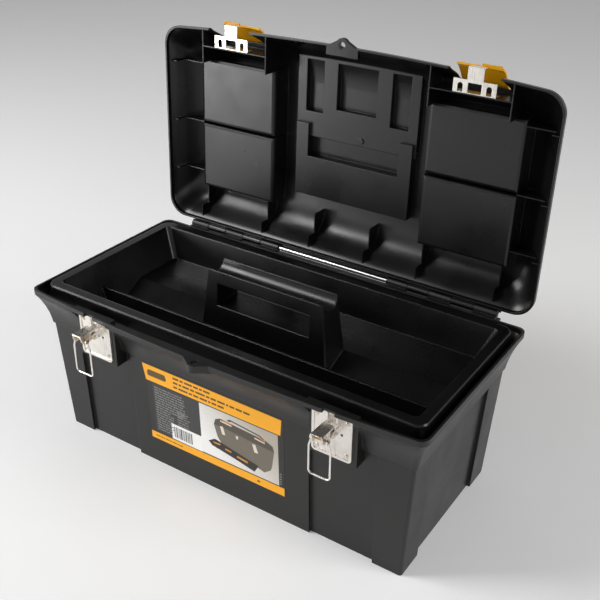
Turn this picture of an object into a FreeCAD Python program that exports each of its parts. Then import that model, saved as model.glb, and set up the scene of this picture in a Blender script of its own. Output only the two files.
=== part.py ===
import FreeCAD, Part
import math
import os
import re

import Sketcher

# A 24-inch toolbox with a lift-out tray. Millimetres, +Z up, and -Y is the latch side.
# The origin is the middle of the tub's bottom face. Everything on the lid is drawn with
# the lid shut and then turned open about its hinge, because the box is kept open.

SIZES = {
    # tub
    "rim_length": 604.0,
    "rim_half_width": 142.4,
    "rim_bow": 14.0,
    "rim_top": 226.5,
    "lip_height": 7.5,
    "corner_radius": 12.0,
    "flare_radius": 7.0,
    "collar_bottom": 172.0,
    "collar_length": 573.5,
    "collar_half_width": 126.3,
    "flare_level": 197.0,
    "flare_length": 585.0,
    "flare_half_width": 131.6,
    "body_length": 569.5,
    "body_half_width": 124.3,
    "base_length": 551.0,
    "base_half_width": 119.4,
    "base_radius": 4.0,
    "wall": 3.0,
    "panel_recess": 4.5,
    "channel_inner": 143.0,
    "channel_outer": 235.0,
    "end_panel_half_width": 77.0,
    "end_panel_top": 166.0,
    "ledge_top": 212.0,
    "ledge_half_length": 283.0,
    "ledge_half_width": 119.5,
    # padlock eyes
    "eye_y": 157.5,
    "eye_radius": 9.5,
    "eye_hole_radius": 4.5,
    "eye_half_base": 24.0,
    "eye_thickness": 5.0,
    "tub_eye_height": 10.5,
    # tray
    "tray_top": 231.0,
    "tray_half_length": 276.0,
    "tray_front": 110.5,
    "tray_rear": 113.5,
    "tray_flange": 15.0,
    "tray_edge": 2.0,
    "tray_wall": 2.5,
    "tray_radius": 7.0,
    "tray_lift_gap": 0.1,
    "trough_floor": 167.0,
    "trough_end_inset": 28.0,
    "trough_side_inset": 14.5,
    "ridge_top": 200.0,
    "ridge_front": 48.0,
    "ridge_rear": 44.0,
    "ridge_draft": 3.0,
    "middle_floor": 171.0,
    "slope_foot": 20.0,
    "slope_head": 24.0,
    "shelf_floor": 185.5,
    # grip of the tray
    "grip_top": 266.5,
    "grip_base": 168.0,
    "grip_half_top": 91.0,
    "grip_half_base": 102.0,
    "grip_front_top": 16.0,
    "grip_front_base": 25.0,
    "grip_rear_top": 22.0,
    "grip_rear_base": 29.0,
    "grip_corner": 4.0,
    "grip_groove_radius": 16.5,
    "grip_groove_rise": 2.5,
    "finger_half": 74.0,
    "finger_bottom": 217.0,
    "finger_top": 249.0,
    "grip_wall": 3.0,
    # lid
    "hinge_y": 153.0,
    "hinge_z": 228.5,
    "lid_open": 92.3,
    "lid_bottom": 226.9,
    "lid_front": 146.5,
    "lid_rear": 146.0,
    "lid_bow": 12.0,
    "lid_radius": 28.0,
    "lid_wall": 2.5,
    "lid_rear_lean": 1.25,
    "rib": 1.6,
    "rib_drop": 24.0,
    # organiser wells in the lid
    "well_inner": 120.0,
    "well_outer": 252.0,
    "well_front": 102.0,
    "well_rear": 96.0,
    "well_split": 5.0,
    "well_gap": 1.3,
    "well_drop": 22.0,
    "well_wall": 2.0,
    "well_edge": 4.6,
    "curb_top": 285.4,
    # hinge
    "rod_radius": 2.5,
    "rod_half_length": 258.0,
    "knuckle_radius": 5.2,
    "knuckle_start": 92.0,
    "knuckle_pitch": 33.0,
    "knuckle_gap": 0.8,
    "shelf_rear": 159.0,
    "shelf_top": 220.6,
    "running_gap": 0.06,
    # latches
    "latch_x": 185.0,
    "plate_y": 140.0,
    "plate_thickness": 1.5,
    "plate_half_width": 27.0,
    "plate_bottom": 157.0,
    "plate_top": 218.5,
    "plate_rim": 1.2,
    "plate_bead": 3.0,
    "pocket_half_width": 31.0,
    "boss_bottom": 152.0,
    "cap_bottom": 221.0,
    "cap_notch": 8.0,
    "pivot_y": 150.0,
    "pivot_z": 198.0,
    "pin_radius": 1.5,
    "ear_inner": 8.0,
    "ear_thickness": 1.4,
    "ear_radius": 5.0,
    "lever_half_width": 7.6,
    "lever_thickness": 1.2,
    "lever_length": 23.0,
    "lever_rise": 9.0,
    "bail_arm": 16.0,
    "bail_half_width": 14.4,
    "bail_drop": 53.5,
    "wire_radius": 1.25,
    "bail_bend": 5.0,
    "bail_knee": 14.0,
    "eyelet_x": 10.8,
    "eyelet_radius": 3.2,
    "rivet_radius": 1.6,
    "rivet_head": 3.0,
    "rivet_spread": 20.0,
    # keepers
    "keeper_rivet_z": 241.0,
    "recess_inner": 125.0,
    "recess_outer": 235.0,
    "recess_rear": 124.0,
    "recess_top": 268.0,
    "recess_foot": 232.0,
    "notch_half_width": 35.0,
    "keeper_level": 232.8,
    "keeper_thickness": 1.2,
    "keeper_half_width": 28.5,
    "keeper_hook_half_width": 10.5,
    "keeper_waist_y": 141.0,
    "keeper_lip_y": 157.0,
    "keeper_lip_top": 241.0,
    # carry handle in the lid
    "handle_pivot_y": -20.0,
    "handle_pivot_z": 276.5,
    "handle_arm_x": 83.0,
    "handle_grip_y": 47.0,
    "recess_floor": 270.0,
    "panel_floor": 275.4,
    # organiser covers
    "cover_bottom": 285.6,
    "cover_thickness": 2.6,
    "cover_margin": 4.0,
    "cover_hinge_y": 107.0,
    "cover_hinge_z": 285.6,
    "cover_knuckle_radius": 3.0,
    "flap_x": 181.0,
    "flap_half_width": 31.0,
    # label
    "label_left": 115.0,
    "label_right": 107.0,
    "label_bottom": 45.0,
    "label_top": 163.0,
    "label_thickness": 0.25,
}

# The lid's outside from its lip upwards: how far in, and how far up, each level lies.
LID_LEVELS = [(0.0, 6.0), (9.5, 24.0), (20.0, 41.0), (32.0, 50.0), (48.0, 55.5), (72.0, 58.5)]
for number, (inward, upward) in enumerate(LID_LEVELS):
    SIZES[f"lid_in_{number}"] = inward
    SIZES[f"lid_up_{number}"] = upward

SIDES = (("left", -1), ("right", 1))
COVER_KNUCKLES = ("138", "222")

doc = FreeCAD.newDocument("Toolbox")
sheet = doc.addObject("Spreadsheet::Sheet", "Dims")
subparts = []


def fill_sheet():
    for row, (name, value) in enumerate(SIZES.items(), start=1):
        sheet.set(f"A{row}", name)
        sheet.set(f"B{row}", str(value))
        sheet.setAlias(f"B{row}", name)
    doc.recompute()


# ---- expressions -------------------------------------------------------------------


def dims(text):
    """Point each size's name in an expression at its cell."""
    return re.sub(r"[a-z_][a-z_0-9]*", lambda m: f"Dims.{m[0]}" if m[0] in SIZES else m[0], str(text))


def number_of(text):
    return float(sheet.evalExpression(dims(text)))


def bind(item, name, text):
    item.setExpression(name, dims(text))


def mirrored(sign, low, high):
    """A span on the right side, or its mirror image on the left."""
    return (low, high) if sign > 0 else (f"-({high})", f"-({low})")


def about(centre, half):
    return f"{centre} - ({half})", f"{centre} + ({half})"


# ---- solids ------------------------------------------------------------------------


def block(name, x, y, z):
    box = doc.addObject("Part::Box", name)
    for size, axis, (low, high) in (("Length", "x", x), ("Width", "y", y), ("Height", "z", z)):
        bind(box, size, f"({high}) - ({low})")
        bind(box, f"Placement.Base.{axis}", low)
    return box


def tapered_block(name, z, low, high):
    """A block between two levels, whose rectangle (x, y) changes from low to high."""
    wedge = doc.addObject("Part::Wedge", name)
    wedge.Placement = FreeCAD.Placement(FreeCAD.Vector(), FreeCAD.Rotation(FreeCAD.Vector(1, 0, 0), 90))
    bind(wedge, "Ymin", z[0])
    bind(wedge, "Ymax", z[1])
    for (x, y), mark in ((low, ""), (high, "2")):
        bind(wedge, f"X{mark}min", x[0])
        bind(wedge, f"X{mark}max", x[1])
        bind(wedge, f"Z{mark}min", f"-({y[1]})")
        bind(wedge, f"Z{mark}max", f"-({y[0]})")
    return wedge


TURNS = {
    "x": FreeCAD.Rotation(FreeCAD.Vector(0, 1, 0), 90),
    "y": FreeCAD.Rotation(FreeCAD.Vector(1, 0, 0), -90),
    "z": FreeCAD.Rotation(),
}


def rod(name, radius, **place):
    """A cylinder along the axis whose place is a (low, high) pair."""
    cylinder = doc.addObject("Part::Cylinder", name)
    bind(cylinder, "Radius", radius)
    for axis, value in place.items():
        if isinstance(value, tuple):
            cylinder.Placement = FreeCAD.Placement(FreeCAD.Vector(), TURNS[axis])
            bind(cylinder, "Height", f"({value[1]}) - ({value[0]})")
    for axis, value in place.items():
        bind(cylinder, f"Placement.Base.{axis}", value[0] if isinstance(value, tuple) else value)
    return cylinder


def fuse(name, parts):
    union = doc.addObject("Part::MultiFuse", name)
    union.Shapes = parts
    return union


def common(name, parts):
    overlap = doc.addObject("Part::MultiCommon", name)
    overlap.Shapes = parts
    return overlap


def cut(name, base, tools):
    result = doc.addObject("Part::Cut", name)
    result.Base = base
    result.Tool = tools[0] if len(tools) == 1 else fuse(f"{name}_tools", tools)
    return result


def outline(name, half_x, front, rear, radius, level, bow=None):
    """A rounded rectangle at one level; with bow, its front edge curves outwards."""
    sketch = doc.addObject("Sketcher::SketchObject", name)
    bind(sketch, "Placement.Base.z", level)
    hx, fy, ry, r = (number_of(text) for text in (half_x, front, rear, radius))
    vector = FreeCAD.Vector
    up = vector(0, 0, 1)
    cx = hx - r
    low_y = r - fy
    high_y = ry - r
    if bow is None:
        start = -math.pi / 2
        geometry = [Part.LineSegment(vector(-cx, -fy, 0), vector(cx, -fy, 0))]
    else:
        arc_radius = f"(({half_x}) * ({half_x}) + ({bow}) * ({bow})) / (2 * ({bow}))"
        big = number_of(arc_radius)
        mid_y = low_y + math.sqrt((big - r) ** 2 - cx**2)
        start = math.atan2(low_y - mid_y, cx)
        circle = Part.Circle(vector(0, mid_y, 0), up, big)
        geometry = [Part.ArcOfCircle(circle, -math.pi - start, start)]
    geometry += [
        Part.ArcOfCircle(Part.Circle(vector(cx, low_y, 0), up, r), start, 0),
        Part.LineSegment(vector(hx, low_y, 0), vector(hx, high_y, 0)),
        Part.ArcOfCircle(Part.Circle(vector(cx, high_y, 0), up, r), 0, math.pi / 2),
        Part.LineSegment(vector(cx, ry, 0), vector(-cx, ry, 0)),
        Part.ArcOfCircle(Part.Circle(vector(-cx, high_y, 0), up, r), math.pi / 2, math.pi),
        Part.LineSegment(vector(-hx, high_y, 0), vector(-hx, low_y, 0)),
        Part.ArcOfCircle(Part.Circle(vector(-cx, low_y, 0), up, r), math.pi, math.pi - start),
    ]
    sketch.addGeometry(geometry, False)
    rules = [Sketcher.Constraint("Tangent", i, 2, (i + 1) % 8, 1) for i in range(8)]
    rules += [Sketcher.Constraint("Vertical", 2), Sketcher.Constraint("Vertical", 6)]
    rules += [Sketcher.Constraint("Horizontal", 4)]
    rules += [Sketcher.Constraint("Equal", 1, other) for other in (3, 5, 7)]
    if bow is None:
        rules.append(Sketcher.Constraint("Horizontal", 0))
    else:
        rules.append(Sketcher.Constraint("PointOnObject", 0, 3, -2))
    sketch.addConstraint(rules)
    drive(sketch, "Radius", (1, r), radius)
    drive(sketch, "DistanceX", (-1, 1, 2, 1, hx), half_x)
    drive(sketch, "DistanceX", (-1, 1, 6, 1, -hx), f"-({half_x})")
    drive(sketch, "DistanceY", (-1, 1, 4, 1, ry), rear)
    drive(sketch, "DistanceY", (-1, 1, 1, 3, low_y), f"({radius}) - ({front})")
    if bow is not None:
        drive(sketch, "Radius", (0, big), arc_radius)
    return sketch


def drive(sketch, kind, where, text):
    """Add a dimension to a sketch and bind it to an expression."""
    index = sketch.addConstraint(Sketcher.Constraint(kind, *where))
    bind(sketch, f"Constraints[{index}]", text)


def polygon(name, points, **span):
    """A polygon in the YZ plane drawn out along x, or one in the XY plane drawn out along z."""
    axis, (low, high) = next(iter(span.items()))
    sketch = doc.addObject("Sketcher::SketchObject", f"{name}_outline")
    turn = FreeCAD.Rotation(FreeCAD.Vector(1, 1, 1), 120) if axis == "x" else FreeCAD.Rotation()
    sketch.Placement = FreeCAD.Placement(FreeCAD.Vector(), turn)
    bind(sketch, f"Placement.Base.{axis}", low)
    corners = [FreeCAD.Vector(number_of(u), number_of(v), 0) for u, v in points]
    count = len(corners)
    sketch.addGeometry(
        [Part.LineSegment(corners[i], corners[(i + 1) % count]) for i in range(count)], False
    )
    joins = [Sketcher.Constraint("Coincident", i, 2, (i + 1) % count, 1) for i in range(count)]
    sketch.addConstraint(joins)
    for i, (u, v) in enumerate(points):
        drive(sketch, "DistanceX", (-1, 1, i, 1, corners[i].x), u)
        drive(sketch, "DistanceY", (-1, 1, i, 1, corners[i].y), v)
    solid = doc.addObject("Part::Extrusion", name)
    solid.Base = sketch
    solid.DirMode = "Custom"
    solid.Dir = FreeCAD.Vector(1, 0, 0) if axis == "x" else FreeCAD.Vector(0, 0, 1)
    solid.Solid = True
    bind(solid, "LengthFwd", f"({high}) - ({low})")
    return solid


def rounded_plate(name, x, y, z, radius):
    """A plate across Y with round corners."""
    radius = f"({radius})"
    wide = block(f"{name}_wide", x, y, (f"{z[0]} + {radius}", f"{z[1]} - {radius}"))
    tall = block(f"{name}_tall", (f"{x[0]} + {radius}", f"{x[1]} - {radius}"), y, z)
    corners = [
        rod(f"{name}_corner_{i}", radius, x=cx, y=y, z=cz)
        for i, (cx, cz) in enumerate(
            (cx, cz)
            for cx in (f"{x[0]} + {radius}", f"{x[1]} - {radius}")
            for cz in (f"{z[0]} + {radius}", f"{z[1]} - {radius}")
        )
    ]
    return fuse(name, [wide, tall] + corners)


def loft(name, sections, ruled=True):
    solid = doc.addObject("Part::Loft", name)
    solid.Sections = sections
    solid.Solid = True
    solid.Ruled = ruled
    return solid


def publish(item, label):
    item.Label = label
    subparts.append(item)
    return item


def publish_on_lid(item, label):
    """Turn a piece of the lid open about the hinge, and name it."""
    item.Placement.Rotation = FreeCAD.Rotation(FreeCAD.Vector(-1, 0, 0), SIZES["lid_open"])
    bind(item, "Placement.Rotation.Angle", "lid_open")
    swing = "lid_open * 1 deg"
    bind(item, "Placement.Base.y", f"hinge_y - hinge_y * cos({swing}) - hinge_z * sin({swing})")
    bind(item, "Placement.Base.z", f"hinge_z + hinge_y * sin({swing}) - hinge_z * cos({swing})")
    return publish(item, label)


# ---- tub ---------------------------------------------------------------------------


def collar_sections(name, inset):
    """Three levels of the flared collar, moved in by inset."""
    half_x = ("collar_length / 2", "flare_length / 2", "rim_length / 2")
    half_y = ("collar_half_width", "flare_half_width", "rim_half_width")
    levels = ("collar_bottom", "flare_level", "rim_top - lip_height")
    bows = ("1", "3.5", "rim_bow")
    radii = ("base_radius", "flare_radius", "corner_radius")
    return [
        outline(f"{name}_{i}", f"{x} - {inset}", *[f"{y} - {inset}"] * 2, radius, z, bow)
        for i, (x, y, z, bow, radius) in enumerate(zip(half_x, half_y, levels, bows, radii))
    ]


def rim_prism(name, inset, low, high):
    reach = f"rim_half_width - {inset}"
    half = f"rim_length / 2 - {inset}"
    return loft(
        name,
        [
            outline(f"{name}_{i}", half, reach, reach, "corner_radius", z, "rim_bow")
            for i, z in enumerate((low, high))
        ],
    )


def body_loft(name, inset, low):
    sections = [
        outline(
            f"{name}_0",
            f"base_length / 2 - {inset}",
            *[f"base_half_width - {inset}"] * 2,
            "base_radius",
            low,
        ),
        outline(
            f"{name}_1",
            f"body_length / 2 - {inset}",
            *[f"body_half_width - {inset}"] * 2,
            "base_radius",
            "collar_bottom",
        ),
    ]
    return loft(name, sections)


def panel_recesses(name, depth, grow):
    """The latch channels in the front and the panels in the ends, as blocks to take away."""
    blocks = []
    for side, sign in SIDES:
        x = mirrored(sign, f"channel_inner - {grow}", f"channel_outer + {grow}")
        blocks.append(
            tapered_block(
                f"{name}_channel_{side}",
                ("0", "collar_bottom"),
                (x, ("-200", f"{depth} - base_half_width")),
                (x, ("-200", f"{depth} - body_half_width")),
            )
        )
        y = about("0", f"end_panel_half_width + {grow}")
        blocks.append(
            tapered_block(
                f"{name}_end_{side}",
                ("0", f"end_panel_top + {grow}"),
                (mirrored(sign, f"base_length / 2 - ({depth})", "400"), y),
                (mirrored(sign, f"body_length / 2 - ({depth})", "400"), y),
            )
        )
    return blocks


def knuckles(name, indexes, arm_y, arm_z):
    """Some of the hinge's knuckles on both sides, each with the arm that carries it."""
    parts = []
    for side, sign in SIDES:
        for i in indexes:
            start = f"knuckle_start + {i} * knuckle_pitch"
            x = mirrored(sign, start, f"{start} + knuckle_pitch - knuckle_gap")
            parts.append(rod(f"{name}_{side}_{i}", "knuckle_radius", x=x, y="hinge_y", z="hinge_z"))
            parts.append(block(f"{name}_arm_{side}_{i}", x, arm_y, arm_z))
    return parts


def rod_bore(name):
    length = about("0", "rod_half_length + 5")
    return rod(name, "rod_radius + running_gap", x=length, y="hinge_y", z="hinge_z")


def padlock_eye(name, low, high, root_y, inner_y):
    """A rounded lug with tapering cheeks that stands out from a front edge."""
    boss = rod(f"{name}_boss", "eye_radius", x="0", y="-eye_y", z=(low, high))
    lug = tapered_block(
        f"{name}_lug",
        (low, high),
        (about("0", "eye_half_base"), (root_y, inner_y)),
        (about("0", "eye_half_base"), (root_y, inner_y)),
    )
    nose = "-eye_y - eye_radius * 0.6"
    plan = [("-eye_half_base", root_y), ("-eye_radius * 0.8", nose)]
    plan += [("eye_radius * 0.8", nose), ("eye_half_base", root_y)]
    return [boss, lug, polygon(f"{name}_cheeks", plan, z=(low, high))]


def make_tub():
    lower = cut(
        "tub_lower", body_loft("tub_body", "0", "0"), panel_recesses("tub_recess", "panel_recess", "0")
    )
    collar = loft("tub_collar", collar_sections("tub_collar_level", "0"), ruled=False)
    lip = rim_prism("tub_lip", "0", "rim_top - lip_height", "rim_top")
    eye_low = "rim_top - tub_eye_height"
    eye_root = "4 - rim_half_width - rim_bow"
    added = [lower, collar, lip] + padlock_eye("tub_eye", eye_low, "rim_top", eye_root, "-120")
    added.append(
        tapered_block(
            "tub_eye_web",
            ("200", eye_low),
            (about("0", "2.5"), ("-134", "-125")),
            (about("0", "2.5"), ("eye_hole_radius + 1.5 - eye_y", "-125")),
        )
    )
    pockets = []
    screens = []
    for side, sign in SIDES:
        centre = f"{sign} * latch_x"
        boss_x = about(centre, "pocket_half_width + wall - 1")
        added.append(
            block(
                f"tub_latch_boss_{side}",
                boss_x,
                ("-plate_y + plate_thickness", "-116"),
                ("boss_bottom", "cap_bottom"),
            )
        )
        pocket_x = about(centre, "pocket_half_width")
        pockets.append(
            block(
                f"tub_latch_pocket_{side}",
                pocket_x,
                ("-170", "-plate_y + plate_thickness"),
                ("boss_bottom - 5", "cap_bottom"),
            )
        )
        pockets.append(
            block(
                f"tub_cap_notch_{side}",
                about(centre, "cap_notch"),
                ("-170", "-plate_y - 5"),
                ("cap_bottom - 1", "rim_top + 1"),
            )
        )
        screens.append(
            block(
                f"tub_latch_screen_{side}",
                about(centre, "pocket_half_width + wall"),
                ("-170", "-plate_y + plate_thickness + wall"),
                ("boss_bottom - 5", "cap_bottom + wall"),
            )
        )
    outside = cut("tub_outside", fuse("tub_mass", added), pockets)
    inside_low = cut(
        "tub_inside_low",
        body_loft("tub_hollow", "wall", "wall"),
        panel_recesses("tub_inset", "panel_recess + wall", "wall"),
    )
    inside_collar = loft("tub_inside_collar", collar_sections("tub_inside_level", "wall"), ruled=False)
    inside_lip = rim_prism("tub_inside_lip", "wall", "rim_top - lip_height", "rim_top + 1")
    opening = [
        outline(f"tub_ledge_{i}", "ledge_half_length", *["ledge_half_width"] * 2, "tray_radius", z)
        for i, z in enumerate(("ledge_top - wall", "ledge_top"))
    ]
    ledge_layer = block(
        "tub_ledge_layer", about("0", "400"), about("0", "200"), ("ledge_top - wall", "ledge_top")
    )
    ledge_ring = cut("tub_ledge_ring", ledge_layer, [loft("tub_ledge_opening", opening)])
    hollow = cut(
        "tub_inside",
        fuse("tub_inside_all", [inside_low, inside_collar, inside_lip]),
        screens + [ledge_ring],
    )
    shell = cut("tub_shell", outside, [hollow])
    arms = knuckles(
        "tub_knuckle",
        (0, 2, 4),
        ("rim_half_width - 1", "hinge_y"),
        ("hinge_z - knuckle_radius", "rim_top - 0.2"),
    )
    arms.append(
        block(
            "tub_hinge_shelf",
            about("0", "rod_half_length + 1"),
            ("rim_half_width - 6", "shelf_rear"),
            ("shelf_top - wall", "shelf_top"),
        )
    )
    holes = rivet_holes_in_tub() + [
        rod_bore("tub_bore"),
        rod("tub_eye_hole", "eye_hole_radius", x="0", y="-eye_y", z=("190", "rim_top + 1")),
    ]
    publish(cut("tub_solid", fuse("tub_with_knuckles", [shell] + arms), holes), "tub")


# ---- tray --------------------------------------------------------------------------


def tray_basin(name, wall, low, high):
    """The tray's tapering inside, grown by a wall all round."""
    def level(mark, z):
        share = f"((tray_top - ({z})) / (tray_top - trough_floor))"
        return outline(
            f"{name}_{mark}",
            f"tray_half_length - trough_end_inset * {share} + {wall}",
            f"tray_front - trough_side_inset * {share} + {wall}",
            f"tray_rear - trough_side_inset * {share} + {wall}",
            "tray_radius",
            z,
        )
    return loft(name, [level("low", low), level("high", high)])


def tray_section(name, drop, x):
    """The tray's floor across its width: front trough, ridge, middle trough, slope and shelf."""
    floor = f"trough_floor - {drop}"
    middle = f"middle_floor - {drop}"
    shelf = f"shelf_floor - {drop}"
    points = [("-140", floor), (f"-ridge_front - ridge_draft + {drop}", floor)]
    if drop == "0":
        points += [
            ("-ridge_front", "ridge_top"),
            ("-ridge_rear", "ridge_top"),
            ("ridge_draft - ridge_rear", middle),
        ]
    else:
        points += [(f"-ridge_front - ridge_draft + {drop} + 0.5", middle)]
    points += [("-slope_foot", middle), ("slope_head", shelf), ("140", shelf)]
    points += [("140", "tray_top + 1"), ("-140", "tray_top + 1")]
    return polygon(name, points, x=x)


def make_tray():
    x = about("0", "rim_length / 2")
    shell = common(
        "tray_mass",
        [
            tray_basin("tray_outer", "tray_wall", "trough_floor - tray_wall", "tray_top"),
            tray_section("tray_under", "tray_wall", x),
        ],
    )
    rim = [
        outline(
            f"tray_rim_{i}",
            f"tray_half_length + tray_flange - {inset}",
            f"tray_front + tray_flange - {inset}",
            f"tray_rear + tray_flange - {inset}",
            "tray_radius + 7",
            z,
        )
        for i, (inset, z) in enumerate(
            (
                ("0", "ledge_top + tray_lift_gap"),
                ("tray_edge / 2", "tray_top - tray_edge"),
                ("tray_edge", "tray_top"),
            )
        )
    ]
    rim_hollow = [
        outline(
            f"tray_rim_hollow_{i}",
            f"tray_half_length + tray_flange - tray_wall - {inset}",
            f"tray_front + tray_flange - tray_wall - {inset}",
            f"tray_rear + tray_flange - tray_wall - {inset}",
            "tray_radius + 5",
            z,
        )
        for i, (inset, z) in enumerate((("0", "ledge_top - 1"), ("tray_edge / 2", "tray_top - tray_wall")))
    ]
    flange = cut("tray_flange", loft("tray_rim", rim), [loft("tray_rim_hollow", rim_hollow)])
    grip = grip_block("grip_mass", "0", "grip_base", "grip_top")
    inside = common(
        "tray_inside",
        [
            tray_basin("tray_inner", "0", "trough_floor - 2", "tray_top + 1"),
            tray_section("tray_floor", "0", x),
        ],
    )
    body = cut("tray_body", fuse("tray_walls", [shell, flange]), [inside])
    groove = rod(
        "grip_groove",
        "grip_groove_radius",
        x=about("0", "150"),
        y="(grip_rear_top - grip_front_top) / 2",
        z="grip_top + grip_groove_rise",
    )
    fingers = block(
        "grip_fingers", about("0", "finger_half"), about("0", "60"), ("finger_bottom", "finger_top")
    )
    foot = grip_block("grip_foot_hollow", "grip_wall", "grip_base - 10", "finger_bottom - grip_wall")
    posts = []
    for side, sign in SIDES:
        posts.append(
            block(
                f"grip_post_hollow_{side}",
                mirrored(sign, "finger_half + grip_wall", "grip_half_top - grip_wall + 1"),
                ("grip_wall - grip_front_top", "grip_rear_top - grip_wall"),
                ("finger_bottom - 2 * grip_wall", "finger_top - 1"),
            )
        )
    publish(
        cut("tray_solid", fuse("tray_with_grip", [body, grip]), [groove, fingers, foot] + posts), "tray"
    )


def grip_block(name, inset, low, high):
    """The tray's raised grip, moved in by inset, between two levels."""
    def level(mark, z):
        share = f"((grip_top - ({z})) / (grip_top - grip_base))"
        front = f"(grip_front_top + (grip_front_base - grip_front_top) * {share} - {inset})"
        rear = f"(grip_rear_top + (grip_rear_base - grip_rear_top) * {share} - {inset})"
        half = f"grip_half_top + (grip_half_base - grip_half_top) * {share} - {inset}"
        return outline(f"{name}_{mark}", half, front, rear, "grip_corner", z)
    return loft(name, [level("low", low), level("high", high)])


# ---- lid ---------------------------------------------------------------------------


def lid_loft(name, inset):
    """The lid's outside or inside: a lip, then levels that draw in towards the top."""
    def level(mark, inward, z):
        return outline(
            f"{name}_{mark}",
            f"rim_length / 2 - {inward} - {inset}",
            f"lid_front - {inward} - {inset}",
            f"lid_rear - lid_rear_lean * {inward} - {inset}",
            "lid_radius",
            z,
            "lid_bow",
        )
    last = len(LID_LEVELS) - 1
    start = "0" if inset == "0" else "-1"
    lip = loft(
        f"{name}_lip",
        [
            level("rim", "lid_in_0", f"lid_bottom + {start}"),
            level("foot", "lid_in_0", "lid_bottom + lid_up_0"),
        ],
    )
    levels = [
        level(i, f"lid_in_{i}", f"lid_bottom + lid_up_{i} - {inset} * {i} / {last}")
        for i in range(last + 1)
    ]
    return fuse(name, [lip, loft(f"{name}_dome", levels, ruled=False)])


def well_block(name, side, sign, y, grow, foot, top):
    """One compartment's outside or inside, with its floor's edge rounded in two steps."""
    def level(mark, inset, z):
        x = mirrored(sign, f"well_inner + {inset} - {grow}", f"well_outer - {inset} + {grow}")
        return (x, (f"{y[0]} + {inset} - {grow}", f"{y[1]} - {inset} + {grow}")), z
    levels = [level(0, "well_edge", foot), level(1, "well_edge * 0.3", f"{foot} + well_edge * 0.3")]
    levels += [level(2, "0", f"{foot} + well_edge"), level(3, "0", top)]
    return [
        tapered_block(
            f"{name}_{side}_{i}", (levels[i][1], levels[i + 1][1]), levels[i][0], levels[i + 1][0]
        )
        for i in range(3)
    ]


def well_spans():
    rear = ("well_gap - well_split", "well_rear")
    front = ("-well_front", "-well_split - well_gap")
    return (("rear", rear), ("front", front))


def lid_ribs(top):
    """Thin ribs that tie the wells, the latch recesses and the walls together."""
    ribs = []
    thin = "rib / 2"
    foot = "lid_bottom + rib_drop"
    for side, sign in SIDES:
        for row, y in enumerate(("-93", "-well_split", "72")):
            ribs.append(
                block(
                    f"lid_side_rib_{side}_{row}",
                    mirrored(sign, "well_outer - 2", "303"),
                    about(y, thin),
                    (foot, top),
                )
            )
            ribs.append(
                block(
                    f"lid_side_foot_{side}_{row}",
                    mirrored(sign, "288", "303"),
                    about(y, thin),
                    ("lid_bottom + 8", top),
                )
            )
        for row, x in enumerate(("46", "130", "244")):
            span = mirrored(sign, f"{x} - {thin}", f"{x} + {thin}")
            ribs.append(
                block(f"lid_rear_rib_{side}_{row}", span, ("well_rear - 2", "148"), (foot, top))
            )
            ribs.append(
                block(f"lid_rear_foot_{side}_{row}", span, ("124", "148"), ("lid_bottom + 8", top))
            )
        for row, x in enumerate(("recess_inner", "recess_outer")):
            span = mirrored(sign, f"{x} - {thin}", f"{x} + {thin}")
            ribs.append(
                block(
                    f"lid_front_rib_{side}_{row}",
                    span,
                    ("-165", "3 - well_front"),
                    ("recess_foot", top),
                )
            )
        rear_wall = ("-recess_rear", "rib - recess_rear")
        between = mirrored(sign, "recess_inner", "recess_outer")
        ribs.append(block(f"lid_recess_wall_{side}", between, rear_wall, ("recess_foot", top)))
        ribs.append(
            block(
                f"lid_recess_roof_{side}",
                between,
                ("-165", "rib - recess_rear"),
                ("recess_top", "recess_top + lid_wall"),
            )
        )
    return ribs


def handle_recess():
    """The handle's well: a place for the grip and two arms, then a sunk panel with three pads."""
    wall = "lid_wall"
    under = f"recess_floor - {wall}"
    solids = [block("lid_grip_well", about("0", "93"), ("16", "75"), (under, "curb_top"))]
    hollows = [
        block(
            "lid_grip_hollow",
            about("0", f"93 - {wall}"),
            (f"16 + {wall}", f"75 - {wall}"),
            ("recess_floor", "300"),
        )
    ]
    for side, sign in SIDES:
        x = mirrored(sign, f"73 + {wall}", f"93 - {wall}")
        solids.append(
            block(
                f"lid_arm_well_{side}", mirrored(sign, "73", "93"), ("-32", "20"), (under, "curb_top")
            )
        )
        hollows.append(
            block(f"lid_arm_hollow_{side}", x, (f"-32 + {wall}", "20"), ("recess_floor", "300"))
        )
    solids.append(
        block("lid_panel", about("0", "96"), ("-127", "-13"), (f"panel_floor - {wall}", "curb_top"))
    )
    solids.append(
        rod("lid_gate_mark", "4", x="11", y="-21", z=(f"panel_floor - {wall} - 1.5", "panel_floor"))
    )
    panel = block(
        "lid_panel_hollow",
        about("0", f"73 - {wall}"),
        ("-122", f"-13 - {wall}"),
        ("panel_floor", "300"),
    )
    wings = block(
        "lid_panel_wings", about("0", f"96 - {wall}"), ("-122", "-35"), ("panel_floor", "300")
    )
    pads = []
    pits = []
    pad_top = "lid_bottom + lid_up_5"
    spans = (("left", "-84", "-51", "-46"), ("middle", "-34", "34", "-55"), ("right", "51", "84", "-46"))
    for mark, low, high, rear in spans:
        pads.append(block(f"lid_pad_{mark}", (low, high), ("-124", rear), ("panel_floor - 1", pad_top)))
        pits.append(
            block(
                f"lid_pit_{mark}",
                (f"{low} + {wall}", f"{high} - {wall}"),
                (f"-124 + {wall}", f"{rear} - {wall}"),
                (f"panel_floor - 2 * {wall}", f"{pad_top} - {wall}"),
            )
        )
    hollows.append(cut("lid_panel_sunk", fuse("lid_panel_sunk_all", [panel, wings]), pads))
    hollows.append(
        common("lid_pits", [fuse("lid_pits_all", pits), lid_loft("lid_pit_limit", "lid_wall")])
    )
    return solids, hollows


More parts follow.
